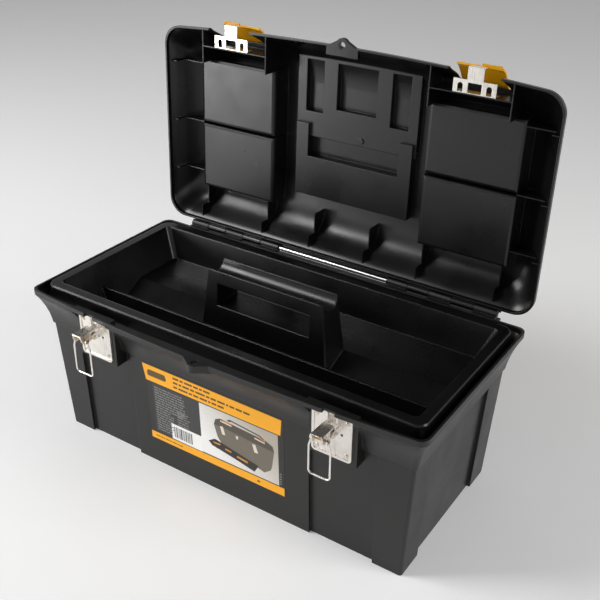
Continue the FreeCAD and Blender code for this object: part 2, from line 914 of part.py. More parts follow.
def make_lid():
    outside = lid_loft("lid_outside", "0")
    inside = lid_loft("lid_inside", "lid_wall")
    shell = cut("lid_shell", outside, [inside])
    solids, hollows = handle_recess()
    features = common(
        "lid_features",
        [fuse("lid_features_all", lid_ribs("curb_top") + solids), lid_loft("lid_limit", "0")],
    )
    wells = []
    for side, sign in SIDES:
        for mark, y in well_spans():
            wells += well_block(
                f"lid_well_{mark}", side, sign, y, "0", "lid_bottom + well_drop", "curb_top"
            )
            hollows += well_block(
                f"lid_cup_{mark}",
                side,
                sign,
                y,
                "-well_wall",
                "lid_bottom + well_drop + well_wall",
                "300",
            )
        hollows.append(
            block(
                f"lid_notch_{side}",
                about(f"{sign} * latch_x", "notch_half_width"),
                ("-170", "-recess_rear"),
                ("lid_bottom - 1", "recess_top"),
            )
        )
        for row in range(2):
            x = f"{sign} * latch_x + {2 * row - 1} * rivet_spread"
            y = ("-recess_rear - 3", "5 - recess_rear")
            hollows.append(
                rod(
                    f"lid_rivet_hole_{side}_{row}",
                    "rivet_radius + running_gap",
                    x=x,
                    y=y,
                    z="keeper_rivet_z",
                )
            )
    arms = knuckles(
        "lid_knuckle",
        (1, 3),
        ("lid_rear - 1.5", "hinge_y"),
        ("hinge_z - 0.3", "hinge_z + knuckle_radius - 0.2"),
    )
    cover_z = "hinge_z + rod_radius + 0.5"
    flaps = [
        block(
            "lid_hinge_cover",
            about("0", "knuckle_start - 1"),
            ("lid_rear - 2", "hinge_y + 5.5"),
            (cover_z, f"{cover_z} + lid_wall"),
        ),
        block(
            "lid_hinge_flange",
            about("0", "rod_half_length"),
            ("lid_rear - 2", "hinge_y - 0.5"),
            ("hinge_z + knuckle_radius + 0.5", "hinge_z + knuckle_radius + 0.5 + lid_wall"),
        ),
    ]
    eye_root = "4 - lid_front - lid_bow"
    eye = padlock_eye("lid_eye", "lid_bottom", "lid_bottom + eye_thickness", eye_root, "-143")
    mass = fuse("lid_mass", [shell, features] + wells + arms + flaps + eye + cover_lugs())
    eye_z = ("lid_bottom - 1", "lid_bottom + 12")
    hollows += [
        rod_bore("lid_bore"), rod("lid_eye_hole", "eye_hole_radius", x="0", y="-eye_y", z=eye_z)
    ]
    hollows += cover_bores() + handle_bores()
    publish_on_lid(cut("lid_solid", mass, hollows), "lid")


# ---- hinge rod ---------------------------------------------------------------------


def make_hinge_rod():
    publish(
        rod("hinge_rod", "rod_radius", x=about("0", "rod_half_length"), y="hinge_y", z="hinge_z"),
        "hinge_rod",
    )


# ---- organiser covers --------------------------------------------------------------


def cover_lugs():
    """The lid's ears on both sides of each cover knuckle."""
    lugs = []
    y = about("cover_hinge_y", "cover_knuckle_radius")
    for side, sign in SIDES:
        for row, start in enumerate(COVER_KNUCKLES):
            for end, low in enumerate((f"{start} - 4.5", f"{start} + 12.5")):
                x = mirrored(sign, low, f"{low} + 4")
                name = f"lid_ear_{side}_{row}_{end}"
                lugs.append(
                    rod(name, "cover_knuckle_radius", x=x, y="cover_hinge_y", z="cover_hinge_z")
                )
                lugs.append(block(f"{name}_root", x, y, ("cover_hinge_z - 12", "cover_hinge_z")))
    return lugs


def cover_bores():
    bores = []
    for side, sign in SIDES:
        for row, start in enumerate(COVER_KNUCKLES):
            x = mirrored(sign, f"{start} - 4.6", f"{start} + 16.6")
            name = f"lid_ear_bore_{side}_{row}"
            bores.append(
                rod(name, "pin_radius + running_gap", x=x, y="cover_hinge_y", z="cover_hinge_z")
            )
    return bores


def make_cover(side, sign):
    margin = "cover_margin"
    x = mirrored(sign, f"well_inner - {margin}", f"well_outer + {margin}")
    y = (f"-well_front - {margin}", f"well_rear + {margin}")
    top = "cover_bottom + cover_thickness"
    parts = [block(f"cover_plate_{side}", x, y, ("cover_bottom", top))]
    for row, start in enumerate(COVER_KNUCKLES):
        span = mirrored(sign, start, f"{start} + 12")
        pin_span = (f"{span[0]} - 4", f"{span[1]} + 4")
        place = {"y": "cover_hinge_y", "z": "cover_hinge_z"}
        parts.append(rod(f"cover_knuckle_{side}_{row}", "cover_knuckle_radius", x=span, **place))
        parts.append(rod(f"cover_pin_{side}_{row}", "pin_radius", x=pin_span, **place))
        tongue_y = (f"{y[1]} - 1", "cover_hinge_y")
        parts.append(block(f"cover_tongue_{side}_{row}", span, tongue_y, ("cover_hinge_z + 0.2", top)))
    flap_x = about(f"{sign} * flap_x", "flap_half_width")
    inner = [
        (f"{y[0]} + 2", "cover_bottom"),
        ("-119.5", "281.4"),
        ("-138.5", "268"),
        ("-150", "258"),
        ("-153.5", "251.5"),
    ]
    outer = [
        ("-156.2", "252"),
        ("-152.4", "259.6"),
        ("-140.8", "270"),
        ("-121.5", "283.8"),
        (f"{y[0]} + 2", top),
    ]
    parts.append(polygon(f"cover_flap_{side}", inner + outer, x=flap_x))
    tab_x = about(f"{sign} * (flap_x + 16)", "13")
    tab = [("-153.5", "251.5"), ("-158.5", "250.5"), ("-158.5", "252.6"), ("-153.5", "256")]
    parts.append(polygon(f"cover_thumb_{side}", tab, x=tab_x))
    publish_on_lid(fuse(f"cover_{side}", parts), f"organiser_cover_{side}")


# ---- carry handle in the lid -------------------------------------------------------


def handle_rods(name, radius, low, high):
    """A rod on each side along the handle's hinge line."""
    return [
        rod(
            f"{name}_{side}",
            radius,
            x=mirrored(sign, low, high),
            y="handle_pivot_y",
            z="handle_pivot_z",
        )
        for side, sign in SIDES
    ]


def handle_bores():
    """Holes for the handle's pins through both walls of each arm well."""
    return handle_rods("lid_handle_bore", "2 + running_gap", "70", "99")


def make_carry_handle():
    parts = [
        rod(
            "handle_bar",
            "6.5",
            x=about("0", "handle_arm_x + 5"),
            y="handle_grip_y",
            z="handle_pivot_z + 1.5",
        )
    ]
    parts += handle_rods("handle_eye", "6", "handle_arm_x - 5", "handle_arm_x + 5")
    for side, sign in SIDES:
        x = mirrored(sign, "handle_arm_x - 5", "handle_arm_x + 5")
        y = ("handle_pivot_y", "handle_grip_y")
        parts.append(block(f"handle_arm_{side}", x, y, about("handle_pivot_z", "5")))
    bores = handle_rods("handle_bore", "2 + running_gap", "70", "99")
    publish_on_lid(cut("handle_solid", fuse("handle_mass", parts), bores), "carry_handle")
    publish_on_lid(
        group("handle_pin_pair", handle_rods("handle_pin", "2", "71", "95.5")), "handle_pins"
    )


def group(name, parts):
    compound = doc.addObject("Part::Compound", name)
    compound.Links = parts
    return compound


# ---- keepers on the lid ------------------------------------------------------------


def make_keeper(side, sign):
    """A bent plate: a riveted flange, two feet with arched slots, and a tongue with a lip."""
    centre = f"{sign} * latch_x"
    top = "keeper_level + keeper_thickness"
    level = ("keeper_level", top)
    through = ("keeper_level - 1", f"{top} + 1")
    feet = block(
        f"keeper_feet_{side}",
        about(centre, "keeper_half_width"),
        ("-keeper_waist_y", "-recess_rear"),
        level,
    )
    tongue_x = about(centre, "keeper_hook_half_width")
    tongue = block(f"keeper_tongue_{side}", tongue_x, ("-keeper_lip_y", "3 - keeper_waist_y"), level)
    lip_y = ("-keeper_lip_y", "keeper_thickness - keeper_lip_y")
    lip = block(f"keeper_lip_{side}", tongue_x, lip_y, ("keeper_level", "keeper_lip_top"))
    flange_y = ("-recess_rear - keeper_thickness", "-recess_rear")
    flange_z = ("keeper_level", "keeper_rivet_z + 5")
    flange = rounded_plate(
        f"keeper_flange_{side}", about(centre, "keeper_half_width"), flange_y, flange_z, "3"
    )
    plate = fuse(f"keeper_plate_{side}", [feet, tongue])
    gap_y = ("3.5 - keeper_waist_y", "-recess_rear - keeper_thickness")
    tools = [block(f"keeper_gap_{side}", about(centre, "9"), gap_y, through)]
    for row in range(2):
        x = f"{centre} + {2 * row - 1} * 19"
        tools.append(block(f"keeper_slot_{side}_{row}", about(x, "3.5"), ("-133", gap_y[1]), through))
        tools.append(rod(f"keeper_arch_{side}_{row}", "3.5", x=x, y="-133", z=through))
        y = ("-recess_rear - 5", "1 - recess_rear")
        hole_x = f"{centre} + {2 * row - 1} * rivet_spread"
        tools.append(
            rod(
                f"keeper_hole_{side}_{row}",
                "rivet_radius + running_gap",
                x=hole_x,
                y=y,
                z="keeper_rivet_z",
            )
        )
    mass = fuse(f"keeper_mass_{side}", [plate, lip, flange])
    publish_on_lid(cut(f"keeper_solid_{side}", mass, tools), f"keeper_{side}")


def rivet(name, x, head_y, seat_y, end_y, z):
    """A domed rivet along Y: its head stands on the seat and its shank runs to the end."""
    head = doc.addObject("Part::Cone", f"{name}_head")
    bind(head, "Radius1", "rivet_head")
    bind(head, "Radius2", "rivet_head * 0.55")
    bind(head, "Height", f"({seat_y}) - ({head_y})")
    head.Placement = FreeCAD.Placement(FreeCAD.Vector(), FreeCAD.Rotation(FreeCAD.Vector(1, 0, 0), 90))
    for axis, text in (("x", x), ("y", seat_y), ("z", z)):
        bind(head, f"Placement.Base.{axis}", text)
    shank = rod(f"{name}_shank", "rivet_radius", x=x, y=(f"{seat_y} - 0.1", end_y), z=z)
    return fuse(name, [head, shank])


def make_keeper_rivets():
    rivets = []
    for side, sign in SIDES:
        for row in range(2):
            x = f"{sign} * latch_x + {2 * row - 1} * rivet_spread"
            seat = "-recess_rear - keeper_thickness"
            rivets.append(
                rivet(
                    f"keeper_rivet_{side}_{row}",
                    x,
                    f"{seat} - 1.3",
                    seat,
                    "rib - recess_rear",
                    "keeper_rivet_z",
                )
            )
    publish_on_lid(group("keeper_rivet_set", rivets), "keeper_rivets")


# ---- latches on the tub ------------------------------------------------------------


def make_latch_plate(side, sign):
    """A pressed plate with a bead round its edge, two ribs, and two ears for the pivot."""
    centre = f"{sign} * latch_x"
    back = "plate_thickness - plate_y"
    x = about(centre, "plate_half_width")
    z = ("plate_bottom", "plate_top")
    sheet_metal = rounded_plate(f"plate_sheet_{side}", x, ("-plate_y", back), z, "5")
    bead = cut(
        f"plate_bead_{side}",
        rounded_plate(f"plate_bead_outer_{side}", x, ("-plate_y - plate_rim", "0.2 - plate_y"), z, "5"),
        [
            rounded_plate(
                f"plate_bead_inner_{side}",
                about(centre, "plate_half_width - plate_bead"),
                ("-plate_y - 3", "1 - plate_y"),
                ("plate_bottom + plate_bead", "plate_top - plate_bead"),
                "5 - plate_bead",
            )
        ],
    )
    parts = [sheet_metal, bead]
    bores = [
        rod(f"plate_pivot_bore_{side}", "pin_radius", x=about(centre, "15"), y="-pivot_y", z="pivot_z")
    ]
    for row, edge in enumerate((-1, 1)):
        ear_x = about(f"{centre} + {edge} * (ear_inner + ear_thickness / 2)", "ear_thickness / 2")
        parts.append(rod(f"plate_ear_{side}_{row}", "ear_radius", x=ear_x, y="-pivot_y", z="pivot_z"))
        root_y = ("-pivot_y", "0.2 - plate_y")
        parts.append(
            block(f"plate_ear_root_{side}_{row}", ear_x, root_y, about("pivot_z", "ear_radius"))
        )
        rib_z = ("pivot_z + 8", "plate_top - 1")
        parts.append(
            rod(f"plate_rib_{side}_{row}", "2.2", x=f"{centre} + {edge} * 5", y="-plate_y", z=rib_z)
        )
        hole_x = f"{centre} + {edge} * 13"
        bores.append(
            rod(
                f"plate_hole_{side}_{row}",
                "1.7",
                x=hole_x,
                y=("-plate_y - 2", f"{back} + 1"),
                z="pivot_z - 6",
            )
        )
    for row, (hole_x, hole_z) in enumerate(rivet_spots(centre)):
        y = ("-plate_y - 2", f"{back} + 1")
        bores.append(
            rod(f"plate_rivet_hole_{side}_{row}", "rivet_radius + running_gap", x=hole_x, y=y, z=hole_z)
        )
    back_limit = block(f"plate_limit_{side}", about(centre, "40"), ("-200", back), ("100", "300"))
    mass = common(f"plate_mass_{side}", [fuse(f"plate_all_{side}", parts), back_limit])
    publish(cut(f"plate_solid_{side}", mass, bores), f"latch_plate_{side}")
    pin_x = about(centre, "ear_inner + ear_thickness + 0.4")
    publish(
        rod(f"pivot_pin_{side}", "pin_radius", x=pin_x, y="-pivot_y", z="pivot_z"),
        f"latch_pivot_{side}",
    )


def rivet_spots(centre):
    """Where a plate's four rivets stand, as (x, z)."""
    return [
        (f"{centre} + {sign} * rivet_spread", z)
        for sign in (-1, 1)
        for z in ("plate_bottom + 8", "plate_top - 8")
    ]


def make_plate_rivets():
    rivets = []
    end = "plate_thickness - plate_y + wall + 0.5"
    for side, sign in SIDES:
        for row, (x, z) in enumerate(rivet_spots(f"{sign} * latch_x")):
            rivets.append(rivet(f"plate_rivet_{side}_{row}", x, "-plate_y - 1.4", "-plate_y", end, z))
    publish(group("plate_rivet_set", rivets), "plate_rivets")


def rivet_holes_in_tub():
    y = ("-plate_y - 5", "plate_thickness - plate_y + wall + 0.6")
    return [
        rod(f"tub_rivet_hole_{side}_{row}", "rivet_radius + running_gap", x=x, y=y, z=z)
        for side, sign in SIDES
        for row, (x, z) in enumerate(rivet_spots(f"{sign} * latch_x"))
    ]


def make_lever(side, sign):
    """The lever as it stands, straight out from the plate: a deep channel open underneath."""
    centre = f"{sign} * latch_x"
    tip = "-pivot_y - lever_length"
    top = "pivot_z + lever_rise"
    under = f"{top} - lever_thickness"
    skin = [
        ("-pivot_y + 3", under), (tip, under), (f"{tip} - 1.5", f"{under} + 0.8"), (tip, f"{top} + 0.3")
    ]
    skin += [(f"{tip} + 4", top), ("-pivot_y + 3", top)]
    flange = [("-pivot_y - 1", "pivot_z - 4"), ("-pivot_y - bail_arm - 3", "pivot_z - 4")]
    flange += [
        (f"{tip} + 0.5", "pivot_z + 1"),
        (tip, under),
        (tip, f"{top} - 0.2"),
        ("-pivot_y + 3", f"{top} - 0.2"),
    ]
    flange += [("-pivot_y + 4", "pivot_z")]
    parts = [polygon(f"lever_skin_{side}", skin, x=about(centre, "lever_half_width"))]
    for row, edge in enumerate((-1, 1)):
        x = about(
            f"{centre} + {edge} * (lever_half_width - lever_thickness / 2)", "lever_thickness / 2"
        )
        parts.append(polygon(f"lever_flange_{side}_{row}", flange, x=x))
        parts.append(rod(f"lever_eye_{side}_{row}", "4", x=x, y="-pivot_y", z="pivot_z"))
    bores = [
        rod(
            f"lever_bore_{side}_{row}",
            "pin_radius + running_gap",
            x=about(centre, "15"),
            y=y,
            z="pivot_z",
        )
        for row, y in enumerate(("-pivot_y", "-pivot_y - bail_arm"))
    ]
    publish(cut(f"lever_solid_{side}", fuse(f"lever_mass_{side}", parts), bores), f"latch_lever_{side}")


def slanted_wire(name, y, low, high):
    """A length of wire in an XZ plane between two (x, z) points."""
    run = f"(({high[0]}) - ({low[0]}))"
    rise = f"(({high[1]}) - ({low[1]}))"
    wire = doc.addObject("Part::Cylinder", name)
    wire.Placement = FreeCAD.Placement(FreeCAD.Vector(), FreeCAD.Rotation(FreeCAD.Vector(0, 1, 0), 10))
    bind(wire, "Radius", "wire_radius")
    bind(wire, "Height", f"sqrt({run} * {run} + {rise} * {rise})")
    bind(wire, "Placement.Rotation.Angle", f"atan({run} / {rise})")
    for axis, text in (("x", low[0]), ("y", y), ("z", low[1])):
        bind(wire, f"Placement.Base.{axis}", text)
    return wire


def ball(name, x, y, z):
    """A wire's rounded joint."""
    sphere = doc.addObject("Part::Sphere", name)
    bind(sphere, "Radius", "wire_radius")
    for axis, text in (("x", x), ("y", y), ("z", z)):
        bind(sphere, f"Placement.Base.{axis}", text)
    return sphere


def make_bail(side, sign):
    """A wire loop that hangs from the cross pin by two eyelets, and the pin itself."""
    centre = f"{sign} * latch_x"
    y = "-pivot_y - bail_arm"
    bottom = "pivot_z - bail_drop"
    knee = "pivot_z - bail_knee"
    bar_x = about(centre, "bail_half_width - bail_bend")
    parts = [rod(f"bail_bar_{side}", "wire_radius", x=bar_x, y=y, z=bottom)]
    bores = []
    for row, edge in enumerate((-1, 1)):
        leg_x = f"{centre} + {edge} * bail_half_width"
        eye_x = f"{centre} + {edge} * eyelet_x"
        parts.append(
            rod(
                f"bail_leg_{side}_{row}", "wire_radius", x=leg_x, y=y, z=(f"{bottom} + bail_bend", knee)
            )
        )
        parts.append(ball(f"bail_knee_{side}_{row}", leg_x, y, knee))
        parts.append(slanted_wire(f"bail_neck_{side}_{row}", y, (leg_x, knee), (eye_x, "pivot_z - 2")))
        bend = doc.addObject("Part::Torus", f"bail_bend_{side}_{row}")
        bind(bend, "Radius1", "bail_bend")
        bind(bend, "Radius2", "wire_radius")
        bend.Angle3 = 90
        flat = FreeCAD.Rotation(FreeCAD.Vector(1, 0, 0), 90)
        quarter = FreeCAD.Rotation(FreeCAD.Vector(0, 0, 1), 270 if edge > 0 else 180)
        bend.Placement = FreeCAD.Placement(FreeCAD.Vector(), flat * quarter)
        place = (("x", f"{leg_x} - {edge} * bail_bend"), ("y", y), ("z", f"{bottom} + bail_bend"))
        for axis, text in place:
            bind(bend, f"Placement.Base.{axis}", text)
        parts.append(bend)
        ring_x = about(eye_x, "wire_radius * 0.9")
        parts.append(rod(f"bail_eyelet_{side}_{row}", "eyelet_radius", x=ring_x, y=y, z="pivot_z"))
        bores.append(
            rod(
                f"bail_bore_{side}_{row}",
                "pin_radius + running_gap",
                x=about(eye_x, "2.2"),
                y=y,
                z="pivot_z",
            )
        )
    publish(cut(f"bail_solid_{side}", fuse(f"bail_mass_{side}", parts), bores), f"latch_bail_{side}")
    pin_x = about(centre, "eyelet_x + 2")
    publish(rod(f"bail_pin_{side}", "pin_radius", x=pin_x, y=y, z="pivot_z"), f"bail_pin_{side}")


# ---- label -------------------------------------------------------------------------


def make_label():
    def face(z, off):
        return f"-(base_half_width + (body_half_width - base_half_width) * {z} / collar_bottom) - {off}"
    x = ("-label_left", "label_right")
    low = (x, (face("label_bottom", "label_thickness"), face("label_bottom", "0")))
    high = (x, (face("label_top", "label_thickness"), face("label_top", "0")))
    publish(tapered_block("label_sheet", ("label_bottom", "label_top"), low, high), "label")


def finish():
    doc.recompute()
    broken = [item.Label for item in doc.Objects if "Invalid" in item.State or "Error" in item.State]
    if broken:
        raise RuntimeError(f"failed objects: {broken}")
    os.makedirs("parts", exist_ok=True)
    for item in subparts:
        if item.Shape.isNull() or not item.Shape.isValid():
            raise RuntimeError(f"bad shape: {item.Label}")
        item.Shape.exportStep(f"parts/{item.Label}.step")
        box = item.Shape.BoundBox
        print(f"{item.Label:24s} {len(item.Shape.Solids)} solids {item.Shape.Volume / 1000:9.2f} cm3"
              f"  z {box.ZMin:.1f} to {box.ZMax:.1f}")


fill_sheet()
make_tub()
make_tray()
make_lid()
make_hinge_rod()
make_carry_handle()
make_keeper_rivets()
make_plate_rivets()
make_label()
for side, sign in SIDES:
    make_cover(side, sign)
    make_keeper(side, sign)
    make_latch_plate(side, sign)
    make_lever(side, sign)
    make_bail(side, sign)
finish()
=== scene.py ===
# %% [markdown]
# # A toolbox with a lift-out tray
# The box is black plastic with bright metal latches, yellow organiser covers and a printed label.
# Its moving parts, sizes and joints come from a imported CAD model, which is loaded first.
# This lesson gives each piece the finish of the real material, adds the print on the label,
# and then sets the floor, the light and the camera.

# %% Load the model
import math

import bmesh
import bpy
from mathutils import Matrix, Vector


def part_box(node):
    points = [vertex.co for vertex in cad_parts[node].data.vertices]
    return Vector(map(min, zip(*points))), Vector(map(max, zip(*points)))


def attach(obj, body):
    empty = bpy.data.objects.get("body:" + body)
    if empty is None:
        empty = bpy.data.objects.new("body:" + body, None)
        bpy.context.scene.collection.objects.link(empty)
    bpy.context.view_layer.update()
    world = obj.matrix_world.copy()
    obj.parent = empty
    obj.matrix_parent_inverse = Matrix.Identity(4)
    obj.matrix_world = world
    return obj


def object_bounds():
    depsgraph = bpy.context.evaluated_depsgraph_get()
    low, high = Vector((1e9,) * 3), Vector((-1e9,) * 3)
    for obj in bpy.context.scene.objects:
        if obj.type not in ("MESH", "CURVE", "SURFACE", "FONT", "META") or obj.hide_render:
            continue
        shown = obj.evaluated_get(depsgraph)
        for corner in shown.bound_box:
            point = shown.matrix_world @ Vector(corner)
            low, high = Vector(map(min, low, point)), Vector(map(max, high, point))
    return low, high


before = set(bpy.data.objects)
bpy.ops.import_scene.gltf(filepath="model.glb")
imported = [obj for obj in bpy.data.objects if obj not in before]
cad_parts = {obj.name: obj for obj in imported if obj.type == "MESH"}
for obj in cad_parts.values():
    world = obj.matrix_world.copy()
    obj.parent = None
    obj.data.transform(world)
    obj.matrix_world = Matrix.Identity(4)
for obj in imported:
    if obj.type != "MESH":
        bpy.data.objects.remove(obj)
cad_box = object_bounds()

MM = 0.001

# %% [markdown]
# Colours are easiest to pick as the hex values that a paint or screen chart gives. Blender
# works in linear light, so one function turns hex into linear numbers. The other way would be
# to type linear numbers by hand, but those don't look like any chart.

# %% Colour from a chart


def linear(code):
    """A hex sRGB colour, such as "#f7b91f", as linear RGBA."""
    channels = [int(code[i : i + 2], 16) / 255 for i in (1, 3, 5)]
    light = [c / 12.92 if c <= 0.04045 else ((c + 0.055) / 1.055) ** 2.4 for c in channels]
    return tuple(light) + (1.0,)


print("white is", [round(c, 3) for c in linear("#ffffff")])

# %% [markdown]
# A material is a tree of nodes. One small function adds a node, sets its values and links its
# inputs, so that each material below reads as a list of what it is made from.

# %% Add a node


def add(tree, kind, settings=None, links=None):
    """A node of this kind. Settings name its inputs or its own properties; links feed its inputs."""
    node = tree.nodes.new(kind)
    for key, value in (settings or {}).items():
        if isinstance(key, str) and hasattr(node, key) and key not in node.inputs:
            setattr(node, key, value)
        else:
            node.inputs[key].default_value = value
    for key, socket in (links or {}).items():
        tree.links.new(socket, node.inputs[key])
    return node


def start_material(name):
    """An empty material, its node tree and the output node."""
    material = bpy.data.materials.new(name)
    material.use_nodes = True
    tree = material.node_tree
    tree.nodes.clear()
    return material, tree, tree.nodes.new("ShaderNodeOutputMaterial")


def per_metre(size_mm):
    """The scale that gives a pattern whose grains are this many millimetres across."""
    return 1.0 / (size_mm * MM)


print("a 2 mm grain is scale", round(per_metre(2.0)))

# %% [markdown]
# Nearly all of the box is injection-moulded polypropylene. The mould is spark-eroded, which
# leaves a fine even grain, and the melt flows in slightly uneven, so the sheen changes slowly
# over a panel. The real grain is about 0.15 mm, too fine to show, so it is drawn at 1.5 mm.
# Edges are rounded by one or two millimetres: a Bevel node rounds how they catch the light without
# touching the mesh. Handling also polishes the edges a little lighter than the flats.

# %% Moulded polypropylene
FLOW_MM = 70
GRAIN_MM = 1.5
GRAIN_STRENGTH = 0.35
GRAIN_DEPTH = 0.05 * MM
EDGE_WEAR = 0.55
POLYPROPYLENE_IOR = 1.49


def moulded_polypropylene(name, colour, pale, roughness, edge_mm):
    """Coloured polypropylene with a spark-eroded grain, slow changes of sheen and worn edges."""
    material, tree, output = start_material(name)
    place = add(tree, "ShaderNodeTexCoord")
    flow = add(
        tree,
        "ShaderNodeTexNoise",
        {"Scale": per_metre(FLOW_MM), "Detail": 3.0, "Roughness": 0.55},
        {"Vector": place.outputs["Object"]},
    )
    grit = add(
        tree,
        "ShaderNodeTexNoise",
        {"Scale": per_metre(GRAIN_MM), "Detail": 2.0, "Roughness": 0.6},
        {"Vector": place.outputs["Object"]},
    )
    rounded = add(tree, "ShaderNodeBevel", {"samples": 4, "Radius": edge_mm * MM})
    flat = add(tree, "ShaderNodeNewGeometry")
    turn = add(
        tree,
        "ShaderNodeVectorMath",
        {"operation": "DOT_PRODUCT"},
        {0: rounded.outputs["Normal"], 1: flat.outputs["Normal"]},
    )
    edge = add(
        tree,
        "ShaderNodeMapRange",
        {"From Min": 0.995, "From Max": 0.80, "To Min": 0.0, "To Max": EDGE_WEAR},
        {"Value": turn.outputs["Value"]},
    )
    body = add(
        tree,
        "ShaderNodeMix",
        {"data_type": "RGBA", 6: linear(colour), 7: linear(pale)},
        {0: flow.outputs["Fac"]},
    )
    worn = add(
        tree,
        "ShaderNodeMix",
        {"data_type": "RGBA", 7: tuple(min(1.0, 1.8 * c) for c in linear(pale)[:3]) + (1.0,)},
        {0: edge.outputs["Result"], 6: body.outputs[2]},
    )
    sheen = add(
        tree,
        "ShaderNodeMapRange",
        {"From Min": 0.3, "From Max": 0.7, "To Min": roughness - 0.05, "To Max": roughness + 0.07},
        {"Value": flow.outputs["Fac"]},
    )
    bump = add(
        tree,
        "ShaderNodeBump",
        {"Strength": GRAIN_STRENGTH, "Distance": GRAIN_DEPTH},
        {"Height": grit.outputs["Fac"], "Normal": rounded.outputs["Normal"]},
    )
    surface = add(
        tree,
        "ShaderNodeBsdfPrincipled",
        {"IOR": POLYPROPYLENE_IOR},
        {
            "Base Color": worn.outputs[2],
            "Roughness": sheen.outputs["Result"],
            "Normal": bump.outputs["Normal"],
        },
    )
    tree.links.new(surface.outputs["BSDF"], output.inputs["Surface"])
    return material


tub_plastic = moulded_polypropylene("polypropylene_tub_black", "#101010", "#171716", 0.40, 1.6)
lid_plastic = moulded_polypropylene("polypropylene_lid_black", "#0a0a0b", "#101011", 0.30, 1.6)
tray_plastic = moulded_polypropylene("polypropylene_tray_black", "#0a0a0b", "#101011", 0.28, 2.4)
handle_plastic = moulded_polypropylene("polypropylene_handle_black", "#101010", "#181817", 0.38, 1.2)
yellow_plastic = moulded_polypropylene("polypropylene_cover_yellow", "#eda400", "#f7b30c", 0.36, 1.2)
plastics = (tub_plastic, lid_plastic, tray_plastic, handle_plastic, yellow_plastic)
print("plastics:", [m.name for m in plastics])

# %% [markdown]
# The latches are pressed from steel sheet and plated with bright zinc. Rolling leaves faint
# streaks along the sheet, and the plating pools into soft cloudy patches. A metal takes its
# colour from its reflection, so the base colour is nearly white and the metal keeps the
# default index of refraction. The streaks are drawn by a noise that is stretched upwards.

# %% Zinc-plated sheet and wire
CLOUD_MM = 9
STREAK_STRENGTH = 0.25
STREAK_DEPTH = 0.04 * MM


def zinc_plated_steel(name, colour, shade, roughness, streak_mm, stretch, edge_mm=0.5):
    """Plated steel with fine drawn streaks along Z and cloudy plating."""
    material, tree, output = start_material(name)
    place = add(tree, "ShaderNodeTexCoord")
    along = add(
        tree,
        "ShaderNodeMapping",
        {"Scale": (per_metre(streak_mm), per_metre(streak_mm), per_metre(streak_mm * stretch))},
        {"Vector": place.outputs["Object"]},
    )
    streaks = add(
        tree,
        "ShaderNodeTexNoise",
        {"Scale": 1.0, "Detail": 3.0},
        {"Vector": along.outputs["Vector"]},
    )
    clouds = add(
        tree,
        "ShaderNodeTexNoise",
        {"Scale": per_metre(CLOUD_MM), "Detail": 2.0},
        {"Vector": place.outputs["Object"]},
    )
    tint = add(
        tree,
        "ShaderNodeMix",
        {"data_type": "RGBA", 6: linear(shade), 7: linear(colour)},
        {0: clouds.outputs["Fac"]},
    )
    sheen = add(
        tree,
        "ShaderNodeMapRange",
        {"From Min": 0.3, "From Max": 0.7, "To Min": roughness - 0.06, "To Max": roughness + 0.08},
        {"Value": streaks.outputs["Fac"]},
    )
    rounded = add(tree, "ShaderNodeBevel", {"samples": 4, "Radius": edge_mm * MM})
    bump = add(
        tree,
        "ShaderNodeBump",
        {"Strength": STREAK_STRENGTH, "Distance": STREAK_DEPTH},
        {"Height": streaks.outputs["Fac"], "Normal": rounded.outputs["Normal"]},
    )
    surface = add(
        tree,
        "ShaderNodeBsdfPrincipled",
        {"Metallic": 1.0},
        {
            "Base Color": tint.outputs[2],
            "Roughness": sheen.outputs["Result"],
            "Normal": bump.outputs["Normal"],
        },
    )
    tree.links.new(surface.outputs["BSDF"], output.inputs["Surface"])
    return material


plated_sheet = zinc_plated_steel("zinc_plated_sheet_steel", "#f4f0ea", "#dcd6ce", 0.30, 1.6, 14)
plated_wire = zinc_plated_steel("zinc_plated_steel_wire", "#f6f3ee", "#e2ddd6", 0.24, 0.8, 20)
plated_rod = zinc_plated_steel("drawn_steel_rod", "#f2f2f0", "#dededb", 0.26, 1.2, 1, 0.3)
plated_rivets = zinc_plated_steel("zinc_plated_rivets", "#e9e4dc", "#c9c2b8", 0.34, 1.0, 2, 0.4)
yellow_zinc = zinc_plated_steel("yellow_passivated_zinc", "#d9b978", "#b98f4a", 0.30, 1.0, 6, 0.3)
metals = (plated_sheet, plated_wire, plated_rod, plated_rivets, yellow_zinc)
print("metals:", [m.name for m in metals])

# %% [markdown]
# The label is a plastic film, printed and then laminated, so every ink shares one smooth
# glossy top. Print is made of tiny dots. Real dots are about 0.15 mm, so here they are 0.9 mm
# and faint, which keeps a flat ink from looking like paint. The film itself is printed black.

# %% Printed film
DOT_MM = 0.9
FILM_IOR = 1.5
FILM_ROUGHNESS = 0.32


